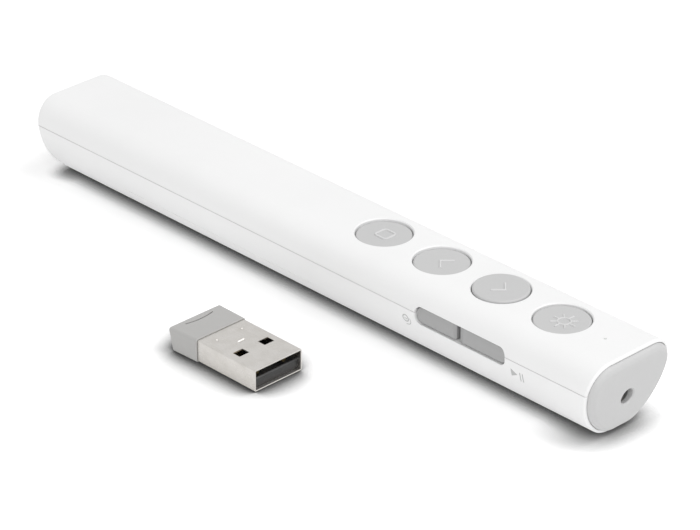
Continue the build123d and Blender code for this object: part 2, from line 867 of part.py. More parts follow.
def battery_cover():
    """Curved lower cover: a tab at its nose end, saddles for the cell and grip grooves at its free end."""
    cover = ((outer - core(wall)) & cover_form) - groove_ring(cover_height)
    half_tab = cover_tab_width / 2
    keel_inner = keel_radius - wall
    tab_rise = keel_inner - math.sqrt(keel_inner**2 - (half_tab - rest_width / 2) ** 2)
    tab_floor = wall + tab_rise + battery_clearance
    tab_top = tab_floor + cover_tab_thickness
    root = cover_nose - cover_tab_root
    cover += block((root, cover_nose - cover_gap), (-half_tab, half_tab), (wall / 2, tab_top))
    cover += block((root, cover_nose + cover_tab_reach), (-half_tab, half_tab), (tab_floor, tab_top))
    cell = rod((tail_x, nose_x), 0, battery_height, battery_diameter + 2 * battery_clearance)
    half_rib = cover_rib_width / 2
    for share in cover_rib_places:
        x = battery_tail + share * battery_length
        rib = block((x, x + rib_thickness), (-half_rib, half_rib), (0, inner_floor - cover_rib_drop))
        cover += (rib & core(wall / 2)) - cell
    groove_start = cover_tail + grip_groove_lead
    for index in range(grip_groove_count):
        groove = Cylinder(grip_groove_radius, 2 * rest_width)
        cover -= Pos(groove_start + index * grip_groove_pitch, 0, 0) * Rot(90, 0, 0) * groove
    return cover


# ---- Receiver ----
plug_z = grip_height / 2
plug_top = plug_z + plug_height / 2
grip_front = receiver_x - plug_length
grip_back = grip_front - grip_length
plug_back = grip_front - plug_seated


def plug_prism(inset, x):
    """Rounded rectangular bar along the plug."""
    shape = RectangleRounded(plug_width - 2 * inset, plug_height - 2 * inset, plug_corner - inset / 2)
    return extrude(Plane.YZ.offset(x[0]) * Pos(receiver_y, plug_z) * shape, x[1] - x[0])


def usb_shell():
    """Folded metal shell of the plug, with its latch windows and small formed marks."""
    shell = plug_prism(0, (plug_back, receiver_x))
    shell -= plug_prism(plug_wall, (plug_back - bite, receiver_x + bite))
    window_x = receiver_x - plug_window_setback
    half_length = plug_window_length / 2
    half_width = plug_window_width / 2
    dimple_z = plug_top + dimple_diameter / 2 - dimple_depth
    for side in (1, -1):
        y = receiver_y + side * plug_window_offset
        span_x = (window_x - half_length, window_x + half_length)
        shell -= block(span_x, (y - half_width, y + half_width), (0, grip_height))
        shell -= Pos(grip_front + dimple_lead, y, dimple_z) * Sphere(dimple_diameter / 2)
    mark = Rot(90, 0, 0) * Cylinder(seam_mark_width / 2, seam_mark_length)
    mark = fillet(mark.edges(), seam_mark_width / 3)
    mark_z = plug_top + seam_mark_width / 2 - seam_mark_depth
    return shell - Pos(grip_front + seam_mark_lead, receiver_y, mark_z) * mark


def tongue_block():
    """Dark carrier of the four contacts, in the lower half of the plug."""
    low = plug_z - plug_height / 2 + plug_wall + tongue_clearance
    high = plug_z + plug_height / 2 - plug_wall - tongue_clearance
    front = receiver_x - tongue_setback
    limits = (receiver_y - plug_width / 2, receiver_y + plug_width / 2)
    tongue = block((front - tongue_length, front), limits, (low, low + tongue_height))
    tongue = chamfer(tongue.edges().group_by(Axis.X)[-1].group_by(Axis.Z)[-1], contact_height * 2)
    back = block((plug_back, front - tongue_length), limits, (low, high))
    return (tongue + back) & plug_prism(plug_wall + tongue_clearance, (plug_back, receiver_x))


def usb_contacts():
    """Four gold strips on the carrier."""
    top = plug_z - plug_height / 2 + plug_wall + tongue_clearance + tongue_height
    strips = []
    for offset, setback in contact_places:
        centre = receiver_x - setback - contact_length / 2
        strip = Box(contact_length, contact_width, contact_height)
        strips.append(Pos(centre, receiver_y + offset, top + contact_height / 2) * strip)
    return strips


def receiver_grip():
    """Moulded grip over the back of the plug: tapered, hollow, with a nail groove in its top."""
    plan = Polyline(
        (grip_back, receiver_y - grip_back_width / 2),
        (grip_front, receiver_y - grip_width / 2),
        (grip_front, receiver_y + grip_width / 2),
        (grip_back, receiver_y + grip_back_width / 2),
        close=True,
    )
    profile = Polyline(
        (grip_back, grip_back_height),
        (grip_back + grip_back_lean, 0),
        (grip_front, 0),
        (grip_front, grip_height),
        close=True,
    )
    form = extrude(make_face(plan), SPAN, both=True)
    form &= extrude(Plane.XZ * make_face(profile), SPAN, both=True)
    free_edges = [edge for edge in form.edges() if (edge @ 0.5).X < grip_front - bite]
    form = fillet(free_edges, grip_edge_radius)
    form = fillet(form.edges().group_by(Axis.X)[-1], grip_front_radius)
    half_cavity = grip_width / 2 - grip_wall
    form -= block(
        (receiver_board_back, grip_front),
        (receiver_y - half_cavity, receiver_y + half_cavity),
        (grip_wall, grip_back_height - grip_wall),
    )
    form -= plug_prism(-tongue_clearance, (plug_back, receiver_x))
    half = nail_groove_length / 2
    groove = block(
        (grip_back, grip_front),
        (receiver_y - half, receiver_y + half),
        (grip_back_height - nail_groove_depth, 2 * grip_height),
    )
    centre_x = grip_back + nail_groove_lead - nail_groove_radius
    groove &= disc(centre_x, receiver_y, (0, SPAN), 2 * nail_groove_radius)
    groove -= disc(centre_x, receiver_y, (0, SPAN), 2 * (nail_groove_radius - nail_groove_width))
    return form - groove


receiver_board_back = grip_back + grip_back_lean + grip_wall
receiver_board_top = plug_z - receiver_board_thickness / 8


def receiver_board():
    """Small circuit board between the plug and the grip."""
    half = receiver_board_width / 2
    return block(
        (receiver_board_back, plug_back),
        (receiver_y - half, receiver_y + half),
        (receiver_board_top - receiver_board_thickness, receiver_board_top),
    )


def receiver_chip():
    """Radio chip on the receiver's board."""
    body = Box(receiver_chip_size, receiver_chip_size, receiver_chip_height)
    middle = (receiver_board_back + plug_back) / 2
    return Pos(middle, receiver_y, receiver_board_top + receiver_chip_height / 2) * body


def placed_screws(places, height, diameter, length, head_diameter):
    """Identical screws pointing up, with the underside of their heads at one height."""
    return [
        Pos(x, y, height - head_diameter / 3) * screw(diameter, length, head_diameter) for x, y in places
    ]


icons = (screen_icon(), chevron_icon(-1), chevron_icon(1), sun_icon())
key_names = ("screen", "previous", "next", "laser")
pieces = {
    "top_shell": top_shell(),
    "bottom_shell": bottom_shell(),
    "nose_cap": nose_cap(),
    "battery_cover": battery_cover(),
    "laser_barrel": laser_barrel(),
    "laser_lens": laser_lens(),
    "laser_diode": laser_diode(),
    "laser_leads": laser_leads(),
    "main_board": main_board(),
    "radio_chip": chip(chip_x, 0, *radio_chip_size),
    "crystal_can": chip(chip_x, crystal_offset, *crystal_size),
    "power_coil": chip(board_tail + coil_lead, coil_offset, *coil_size),
    "board_passives": board_passives(),
    "status_led": status_led(),
    "light_pipe": light_pipe(),
    "battery_cell": battery_cell(),
    "positive_contact": positive_contact(),
    "negative_contact": negative_contact(),
    "battery_spring": battery_spring(),
    "shell_screws": placed_screws(
        shell_screws, inner_floor, shell_screw_diameter, shell_screw_length, shell_screw_head
    ),
    "board_screws": placed_screws(
        board_screws, board_bottom, board_screw_diameter, board_screw_length, board_screw_head
    ),
    "usb_shell": usb_shell(),
    "contact_carrier": tongue_block(),
    "usb_contacts": usb_contacts(),
    "receiver_grip": receiver_grip(),
    "receiver_board": receiver_board(),
    "receiver_chip": receiver_chip(),
}
for name, x, drop, icon, place in zip(key_names, key_x, key_tops, icons, icon_places):
    pieces[f"key_{name}"] = top_key(x, drop, icon, place)
    pieces[f"switch_{name}"] = key_switch(x)
    pieces[f"plunger_{name}"] = key_plunger(x)
for name, x, side, bevel_length in zip(("rear", "front"), side_key_x, (-1, 1), side_key_bevels):
    pieces[f"side_key_{name}"] = side_key(x, side, bevel_length)
    pieces[f"side_switch_{name}"] = side_switch(x)
    pieces[f"side_plunger_{name}"] = side_plunger(x)

os.makedirs("parts", exist_ok=True)
for name, piece in pieces.items():
    solids = piece if isinstance(piece, list) else piece.solids()
    whole = solids[0] if len(solids) == 1 else Compound(children=list(solids))
    export_step(whole, f"parts/{name}.step")
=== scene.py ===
import logging
import math
from dataclasses import dataclass, field
from enum import Enum

import bmesh
import bpy
from mathutils import Matrix, Vector
from mathutils.bvhtree import BVHTree


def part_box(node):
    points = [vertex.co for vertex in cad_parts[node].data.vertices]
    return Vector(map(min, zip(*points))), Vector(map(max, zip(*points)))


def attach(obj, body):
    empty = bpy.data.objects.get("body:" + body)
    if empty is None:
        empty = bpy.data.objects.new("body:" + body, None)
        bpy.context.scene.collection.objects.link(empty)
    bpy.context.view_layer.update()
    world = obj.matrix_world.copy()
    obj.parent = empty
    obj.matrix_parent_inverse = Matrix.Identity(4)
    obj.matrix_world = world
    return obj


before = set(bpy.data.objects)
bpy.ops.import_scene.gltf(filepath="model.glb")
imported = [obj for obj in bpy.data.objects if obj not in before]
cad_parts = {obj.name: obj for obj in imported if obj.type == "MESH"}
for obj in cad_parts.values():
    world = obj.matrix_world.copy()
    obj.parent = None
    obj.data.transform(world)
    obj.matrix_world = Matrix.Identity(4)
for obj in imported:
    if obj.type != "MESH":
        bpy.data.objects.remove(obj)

LOG = logging.getLogger("presentation_remote")
MM = 0.001
Colour = tuple[float, float, float]
Point2 = tuple[float, float]
Point3 = tuple[float, float, float]

# A place outside either side of the casing, from which marks are thrown onto it, in metres.
CLEAR_OF_SIDE = 0.1
# Least cosine of half a bend, which limits how far the mitre of a sharp corner reaches.
SHARPEST_MITRE = 0.3
# The span of a noise's values that a finish maps onto a range of its own.
NOISE_SPAN = (0.3, 0.7)
WHOLE = (0.0, 1.0)
REVERSED = (1.0, 0.0)


class Body(str, Enum):
    """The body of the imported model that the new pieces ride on."""

    HANDSET = "handset"


class Corner(Enum):
    """How the last point of a stroke joins its first one."""

    OPEN = "open"
    CLOSED = "closed"


# ---- Shader building ----
class ShaderSheet:
    """One material's node tree, with short calls for the nodes that the finishes share."""

    def __init__(self, name: str) -> None:
        """Starts an empty material around one Principled shader.

        Args:
            name: The material's name.
        """
        self.material = bpy.data.materials.new(name)
        self.material.use_nodes = True
        self.nodes = self.material.node_tree.nodes
        self.links = self.material.node_tree.links
        self.shader = self.nodes["Principled BSDF"]
        self.place = self.nodes.new("ShaderNodeTexCoord").outputs["Object"]

    def constant(self, socket: str, value: float | Colour) -> None:
        """Sets a socket that is the same all over the surface.

        Args:
            socket: The Principled shader's socket.
            value: A number, or a linear colour.
        """
        if isinstance(value, tuple):
            value = (*value, 1.0)
        self.shader.inputs[socket].default_value = value

    def drive(self, socket: str, source: bpy.types.NodeSocket) -> None:
        """Feeds a socket of the shader from a node."""
        self.links.new(source, self.shader.inputs[socket])

    def noise(
        self, grain: float, detail: float = 2.0, stretch: Point3 = (1.0, 1.0, 1.0)
    ) -> bpy.types.NodeSocket:
        """Noise whose cells have a real size.

        Args:
            grain: Size of a cell, in metres.
            detail: Octaves of finer noise on top.
            stretch: How many times longer the cells are along X, Y and Z.

        Returns:
            The noise's 0 to 1 output.
        """
        mapping = self.nodes.new("ShaderNodeMapping")
        mapping.inputs["Scale"].default_value = [1.0 / s for s in stretch]
        self.links.new(self.place, mapping.inputs["Vector"])
        noise = self.nodes.new("ShaderNodeTexNoise")
        noise.inputs["Scale"].default_value = 1.0 / grain
        noise.inputs["Detail"].default_value = detail
        self.links.new(mapping.outputs["Vector"], noise.inputs["Vector"])
        return noise.outputs["Fac"]

    def remap(
        self, source: bpy.types.NodeSocket, before: Point2, after: Point2
    ) -> bpy.types.NodeSocket:
        """Maps one range of numbers onto another, held at its ends.

        Args:
            source: The number to map.
            before: The range that it comes in.
            after: The range that it goes out in.

        Returns:
            The mapped number.
        """
        node = self.nodes.new("ShaderNodeMapRange")
        for name, value in zip(("From Min", "From Max", "To Min", "To Max"), (*before, *after)):
            node.inputs[name].default_value = value
        self.links.new(source, node.inputs["Value"])
        return node.outputs["Result"]

    def blend(
        self, share: bpy.types.NodeSocket, first: "Colour | bpy.types.NodeSocket", second: Colour
    ) -> bpy.types.NodeSocket:
        """Mixes two colours.

        Args:
            share: 0 for the first colour and 1 for the second.
            first: A linear colour, or a socket that gives one.
            second: A linear colour.

        Returns:
            The mixed colour.
        """
        node = self.nodes.new("ShaderNodeMix")
        node.data_type = "RGBA"
        if isinstance(first, tuple):
            node.inputs["A"].default_value = (*first, 1.0)
        else:
            self.links.new(first, node.inputs["A"])
        node.inputs["B"].default_value = (*second, 1.0)
        self.links.new(share, node.inputs["Factor"])
        return node.outputs["Result"]

    def axis(self, index: int) -> bpy.types.NodeSocket:
        """Place along one axis of the frame.

        Args:
            index: 0, 1 or 2 for X, Y or Z.

        Returns:
            The place, in metres.
        """
        split = self.nodes.new("ShaderNodeSeparateXYZ")
        self.links.new(self.place, split.inputs["Vector"])
        return split.outputs[index]

    def bump(self, height: bpy.types.NodeSocket, depth: float) -> None:
        """Raises and lowers the surface's normal.

        Args:
            height: A 0 to 1 height.
            depth: How deep the relief is, in metres.
        """
        node = self.nodes.new("ShaderNodeBump")
        node.inputs["Distance"].default_value = depth
        self.links.new(height, node.inputs["Height"])
        self.drive("Normal", node.outputs["Normal"])


# ---- Finishes ----
@dataclass(frozen=True)
class MouldedPlastic:
    """Satin moulded plastic: spark-eroded grain, slow tone drift and uneven gloss."""

    name: str
    colour: Colour
    roughness: float = 0.5
    grain: float = 0.28 * MM
    relief: float = 0.004 * MM
    drift: float = 0.02
    drift_size: float = 22.0 * MM
    drift_span: Point2 = (0.35, 0.65)
    gloss_swing: float = 0.05
    gloss_grains: float = 6.0
    ior: float = 1.5

    def tint(self, sheet: ShaderSheet) -> bpy.types.NodeSocket:
        """Colour with a slow drift over the surface.

        Args:
            sheet: The material that the colour is for.

        Returns:
            The colour.
        """
        darker = tuple(c * (1.0 - self.drift) for c in self.colour)
        tone = sheet.remap(sheet.noise(self.drift_size), self.drift_span, WHOLE)
        return sheet.blend(tone, self.colour, darker)

    def material(self) -> bpy.types.Material:
        """Builds the material.

        Returns:
            The new material.
        """
        sheet = ShaderSheet(self.name)
        sheet.drive("Base Color", self.tint(sheet))
        gloss = (self.roughness - self.gloss_swing, self.roughness + self.gloss_swing)
        patches = sheet.noise(self.grain * self.gloss_grains)
        sheet.drive("Roughness", sheet.remap(patches, NOISE_SPAN, gloss))
        sheet.bump(sheet.noise(self.grain, detail=3.0), self.relief)
        sheet.constant("IOR", self.ior)
        return sheet.material


@dataclass(frozen=True)
class KeyPlastic(MouldedPlastic):
    """Key plastic with a raised symbol, with a painted highlight on its top and painted shade round its
    foot.
    """

    # Painted highlight colour of the symbol's top, then painted shade colour round the symbol's foot.
    symbol_highlight: Colour = (0.7, 0.7, 0.7)
    foot: Colour = (0.4, 0.4, 0.4)
    symbol_top: float = 0.0
    symbol_height: float = 0.22 * MM
    foot_height: float = 0.03 * MM
    edge_soft: float = 0.01 * MM

    def tint(self, sheet: ShaderSheet) -> bpy.types.NodeSocket:
        """Colour of the key, with the painted highlight on its symbol and painted shade round the
        symbol's foot.

        Args:
            sheet: The material that the colour is for.

        Returns:
            The colour.
        """
        level = sheet.axis(2)
        base = self.symbol_top - self.symbol_height
        rise = base + self.foot_height
        soft = self.edge_soft
        # Painted shade low on the symbol's walls, then a painted highlight on the symbol above it.
        foot = sheet.remap(level, (base + soft, base + 2 * soft), WHOLE)
        symbol = sheet.remap(level, (rise, rise + soft), WHOLE)
        key = super().tint(sheet)
        return sheet.blend(symbol, sheet.blend(foot, key, self.foot), self.symbol_highlight)


@dataclass(frozen=True)
class CasingPlastic(MouldedPlastic):
    """Casing plastic with a thin band of painted shade along the parting seam between the shells."""

    # Colour of the painted seam shade, and the level and half width of its band.
    seam: Colour = (0.7, 0.7, 0.7)
    seam_level: float = 0.0
    seam_half_width: float = 0.1 * MM

    def tint(self, sheet: ShaderSheet) -> bpy.types.NodeSocket:
        """Colour of the casing, with the painted shade along its seam.

        Args:
            sheet: The material that the colour is for.

        Returns:
            The colour.
        """
        # Painted shade in a thin band round the parting seam's level.
        near = sheet.nodes.new("ShaderNodeMath")
        near.operation = "COMPARE"
        near.inputs[1].default_value = self.seam_level
        near.inputs[2].default_value = self.seam_half_width
        sheet.links.new(sheet.axis(2), near.inputs[0])
        return sheet.blend(near.outputs["Value"], super().tint(sheet), self.seam)


@dataclass(frozen=True)
class DrawnMetal:
    """Metal with fine lines along the way it was drawn, brushed or turned."""

    name: str
    colour: Colour
    roughness: float = 0.32
    line: float = 0.05 * MM
    stretch: Point3 = (40.0, 1.0, 1.0)
    relief: float = 0.002 * MM
    stain: Colour | None = None
    stain_share: float = 0.93
    cloud_size: float = 2.4 * MM
    cloud_span: Point2 = (0.4, 0.7)
    gloss_swing: float = 0.08

    def material(self) -> bpy.types.Material:
        """Builds the material.

        Returns:
            The new material.
        """
        sheet = ShaderSheet(self.name)
        sheet.constant("Metallic", 1.0)
        lines = sheet.noise(self.line, detail=2.0, stretch=self.stretch)
        cloud = sheet.remap(sheet.noise(self.cloud_size, detail=3.0), self.cloud_span, WHOLE)
        second = self.stain or tuple(c * self.stain_share for c in self.colour)
        sheet.drive("Base Color", sheet.blend(cloud, self.colour, second))
        gloss = (self.roughness - self.gloss_swing, self.roughness + self.gloss_swing)
        sheet.drive("Roughness", sheet.remap(lines, NOISE_SPAN, gloss))
        sheet.bump(lines, self.relief)
        return sheet.material


@dataclass(frozen=True)
class ClearPlastic:
    """Clear moulded or polished piece that light passes through."""

    name: str
    colour: Colour
    roughness: float = 0.06
    ior: float = 1.49
    clearness: float = 0.9
    cloud_size: float = 0.8 * MM
    cloud_share: float = 0.97

    def material(self) -> bpy.types.Material:
        """Builds the material.

        Returns:
            The new material.
        """
        sheet = ShaderSheet(self.name)
        faint = sheet.remap(sheet.noise(self.cloud_size), NOISE_SPAN, WHOLE)
        deeper = tuple(c * self.cloud_share for c in self.colour)
        sheet.drive("Base Color", sheet.blend(faint, self.colour, deeper))
        sheet.constant("Roughness", self.roughness)
        sheet.constant("IOR", self.ior)
        sheet.constant("Transmission Weight", self.clearness)
        return sheet.material


@dataclass(frozen=True)
class BoardLaminate:
    """Glass-fibre board under solder mask, with copper tracks that show through it."""

    name: str
    mask: Colour
    track: Colour
    track_pitch: float = 1.1 * MM
    track_edge: Point2 = (0.05, 0.09)
    track_height: float = 0.02 * MM
    weave_size: float = 0.3 * MM
    gloss: Point2 = (0.28, 0.42)

    def material(self) -> bpy.types.Material:
        """Builds the material.

        Returns:
            The new material.
        """
        sheet = ShaderSheet(self.name)
        cells = sheet.nodes.new("ShaderNodeTexVoronoi")
        cells.distance = "CHEBYCHEV"
        cells.feature = "DISTANCE_TO_EDGE"
        cells.inputs["Scale"].default_value = 1.0 / self.track_pitch
        sheet.links.new(sheet.place, cells.inputs["Vector"])
        track = sheet.remap(cells.outputs["Distance"], self.track_edge, REVERSED)
        sheet.drive("Base Color", sheet.blend(track, self.mask, self.track))
        weave = sheet.noise(self.weave_size, detail=1.0)
        sheet.drive("Roughness", sheet.remap(weave, NOISE_SPAN, self.gloss))
        sheet.bump(track, self.track_height)
        return sheet.material


@dataclass(frozen=True)
class CellSleeve:
    """Printed sleeve of a battery cell: bare ends, a dark body and a band at the positive end."""

    name: str
    body: Colour
    band: Colour
    steel: Colour
    ends: Point2
    band_length: float = 11.0 * MM
    bare_length: float = 0.7 * MM
    edge_soft: float = 0.05 * MM
    metal_span: Point2 = (0.15, 1.0)
    cloud_size: float = 0.6 * MM
    gloss: Point2 = (0.22, 0.34)

    def material(self) -> bpy.types.Material:
        """Builds the material.

        Returns:
            The new material.
        """
        sheet = ShaderSheet(self.name)
        along = sheet.axis(0)
        low, high = self.ends
        soft = self.edge_soft
        band_start = high - self.band_length
        band = sheet.remap(along, (band_start - soft, band_start + soft), WHOLE)
        printed = sheet.blend(band, self.body, self.band)
        front_start = high - 2 * self.bare_length
        front = sheet.remap(along, (front_start, front_start + soft), WHOLE)
        back_end = low + self.bare_length
        back = sheet.remap(along, (back_end - soft, back_end), REVERSED)
        bare = sheet.nodes.new("ShaderNodeMath")
        bare.operation = "MAXIMUM"
        sheet.links.new(front, bare.inputs[0])
        sheet.links.new(back, bare.inputs[1])
        sheet.drive("Base Color", sheet.blend(bare.outputs["Value"], printed, self.steel))
        sheet.drive("Metallic", sheet.remap(bare.outputs["Value"], WHOLE, self.metal_span))
        sheet.drive("Roughness", sheet.remap(sheet.noise(self.cloud_size), NOISE_SPAN, self.gloss))
        return sheet.material


Finish = MouldedPlastic | DrawnMetal | ClearPlastic | BoardLaminate | CellSleeve


class Palette:
    """Every finish of the remote and its receiver, made into a material on first use."""

    CASING = MouldedPlastic("casing_white", (0.9, 0.9, 0.9), roughness=0.42)
    SIDE_KEY = MouldedPlastic("side_key_grey", (0.39, 0.39, 0.39), roughness=0.5, grain=0.2 * MM)
    NOSE = MouldedPlastic("nose_grey", (0.57, 0.57, 0.57), roughness=0.48)
    GRIP = MouldedPlastic("grip_grey", (0.45, 0.445, 0.435), roughness=0.45)
    PRINT = MouldedPlastic("printed_grey", (0.5, 0.5, 0.5), roughness=0.6, relief=0.001 * MM)
    CARRIER = MouldedPlastic("carrier_black", (0.018, 0.018, 0.018), roughness=0.38, drift=0.2)
    CHIP = MouldedPlastic("chip_black", (0.03, 0.03, 0.032), roughness=0.55, drift=0.15)
    SWITCH = MouldedPlastic("switch_black", (0.045, 0.045, 0.047), roughness=0.4, drift=0.1)
    PLUNGER = MouldedPlastic("plunger_white", (0.8, 0.8, 0.76), roughness=0.4)
    LAMP = MouldedPlastic("led_pale", (0.85, 0.82, 0.6), roughness=0.25)
    STEEL = DrawnMetal("plug_steel", (0.61, 0.59, 0.565), stain=(0.565, 0.545, 0.515))
    CAN = DrawnMetal("can_steel", (0.66, 0.66, 0.66), roughness=0.3, stretch=(1.0, 1.0, 1.0))
    SPRING = DrawnMetal("spring_nickel", (0.7, 0.69, 0.67), roughness=0.25)
    SCREW = DrawnMetal("screw_zinc", (0.6, 0.6, 0.62), roughness=0.35, stretch=(1.0, 1.0, 6.0))
    BRASS = DrawnMetal("barrel_brass", (0.72, 0.53, 0.24), roughness=0.28, stretch=(1.0, 8.0, 8.0))
    GOLD = DrawnMetal("contact_gold", (0.83, 0.61, 0.25), roughness=0.22)
    LENS = ClearPlastic("lens_clear", (0.93, 0.95, 0.97), roughness=0.02, ior=1.52)
    LIGHT_PIPE = ClearPlastic("light_clear", (0.9, 0.93, 0.9), clearness=0.25)
    BOARD = BoardLaminate("board_green", (0.02, 0.13, 0.06), (0.045, 0.24, 0.11))

    _made: dict[str, bpy.types.Material] = {}

    @classmethod
    def of(cls, finish: Finish) -> bpy.types.Material:
        """Material of a finish.

        Args:
            finish: One of the palette's finishes.

        Returns:
            The material, the same one each time.
        """
        if finish.name not in cls._made:
            cls._made[finish.name] = finish.material()
        return cls._made[finish.name]


# ---- Shared building steps ----
def dress(node: str, finish: Finish) -> str:
    """Gives a CAD node its finish.

    Args:
        node: The node's name.
        finish: A finish of the palette.

    Returns:
        The node's name.
    """
    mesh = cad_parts[node].data
    mesh.materials.clear()
    mesh.materials.append(Palette.of(finish))
    return node


def add_piece(
    name: str, form: bmesh.types.BMesh, finish: Finish, body: Body
) -> bpy.types.Object:
    """Turns a bmesh into a piece of the object.

    Args:
        name: The piece's name.
        form: The mesh, in the frame, in metres. It is freed.
        finish: A finish of the palette.
        body: The body that it rides on.

    Returns:
        The new object.
    """
    bmesh.ops.recalc_face_normals(form, faces=form.faces)
    mesh = bpy.data.meshes.new(name)
    form.to_mesh(mesh)
    form.free()
    mesh.materials.append(Palette.of(finish))
    piece = bpy.data.objects.new(name, mesh)
    bpy.context.scene.collection.objects.link(piece)
    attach(piece, body.value)
    return piece


@dataclass(frozen=True)
class Stroke:
    """A line of even width through flat points."""

    points: tuple[Point2, ...]
    width: float
    corner: Corner = Corner.OPEN

    def sides(self) -> list[tuple[Vector, Vector]]:
        """Left and right edge of the line at each of its points.

        Returns:
            Pairs of flat points.
        """
        count = len(self.points)
        closed = self.corner is Corner.CLOSED
        pairs = []
        for index, point in enumerate(self.points):
            here = Vector(point)
            before = self.points[index - 1] if index or closed else None
            after = self.points[(index + 1) % count] if index < count - 1 or closed else None
            ahead = (Vector(after) - here).normalized() if after else None
            arrive = (here - Vector(before)).normalized() if before else ahead
            leave = ahead if after else arrive
            along = (arrive + leave).normalized()
            mitre = self.width / 2 / max(along.dot(leave), SHARPEST_MITRE)
            across = Vector((-along.y, along.x)) * mitre
            pairs.append((here + across, here - across))
        return pairs


class SideStamp:
    """Thin printed marks laid onto the casing's curved side."""

    def __init__(
        self, node: str, face: float, proud: float = 0.015 * MM, depth: float = 0.03 * MM
    ) -> None:
        """Prepares to lay marks on one node.

        Args:
            node: The CAD node that carries the marks.
            face: -1.0 to print on its -Y side, 1.0 for its +Y side.
            proud: How far the ink stands out.
            depth: The ink layer's whole thickness.
        """
        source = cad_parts[node].data
        corners = [v.co for v in source.vertices]
        faces = [tuple(p.vertices) for p in source.polygons]
        self.surface = BVHTree.FromPolygons(corners, faces)
        self.face = face
        self.proud = proud
        self.depth = depth

    def land(self, point: Vector, lift: float) -> Vector:
        """Puts a flat point onto the side.

        Args:
            point: X and Z of the point, in metres.
            lift: How far off the surface it lies.

        Returns:
            The point in the frame.
        """
        far = Vector((point.x, self.face * CLEAR_OF_SIDE, point.y))
        place, normal, _, _ = self.surface.ray_cast(far, Vector((0.0, -self.face, 0.0)))
        return place + normal * lift

    def strip(self, form: bmesh.types.BMesh, stroke: Stroke) -> None:
        """Adds one stroke as a closed thin layer.

        Args:
            form: The mesh that it is added to.
            stroke: The stroke, in X and Z.
        """
        pairs = stroke.sides()
        rings = []
        for left, right in pairs:
            spots = [(left, self.proud), (right, self.proud)]
            spots += [(right, self.proud - self.depth), (left, self.proud - self.depth)]
            rings.append([form.verts.new(self.land(spot, lift)) for spot, lift in spots])
        steps = list(zip(rings, rings[1:]))
        if stroke.corner is Corner.CLOSED:
            steps.append((rings[-1], rings[0]))
        for first, second in steps:
            for side in range(4):
                following = (side + 1) % 4
                form.faces.new((first[side], first[following], second[following], second[side]))
        if stroke.corner is Corner.OPEN:
            form.faces.new(rings[0])
            form.faces.new(rings[-1][::-1])

    def patch(self, form: bmesh.types.BMesh, outline: tuple[Point2, ...], cuts: int = 5) -> None:
        """Adds one filled outline as a closed thin layer that follows the curved side.

        Args:
            form: The mesh that it is added to.
            outline: The outline's points, in X and Z.
            cuts: How often each edge of the outline is cut for the curve.
        """
        flat = bmesh.new()
        flat.faces.new([flat.verts.new((x, 0.0, z)) for x, z in outline])
        bmesh.ops.subdivide_edges(flat, edges=flat.edges, cuts=cuts, use_grid_fill=True)
        front, back = (
            {spot: form.verts.new(self.land(spot.co.xz, lift)) for spot in flat.verts}
            for lift in (self.proud, self.proud - self.depth)
        )
        for face in flat.faces:
            form.faces.new([front[spot] for spot in face.verts])
            form.faces.new([back[spot] for spot in reversed(face.verts)])
        for edge in flat.edges:
            if edge.is_boundary:
                start, end = edge.verts
                form.faces.new((front[end], front[start], back[start], back[end]))
        flat.free()


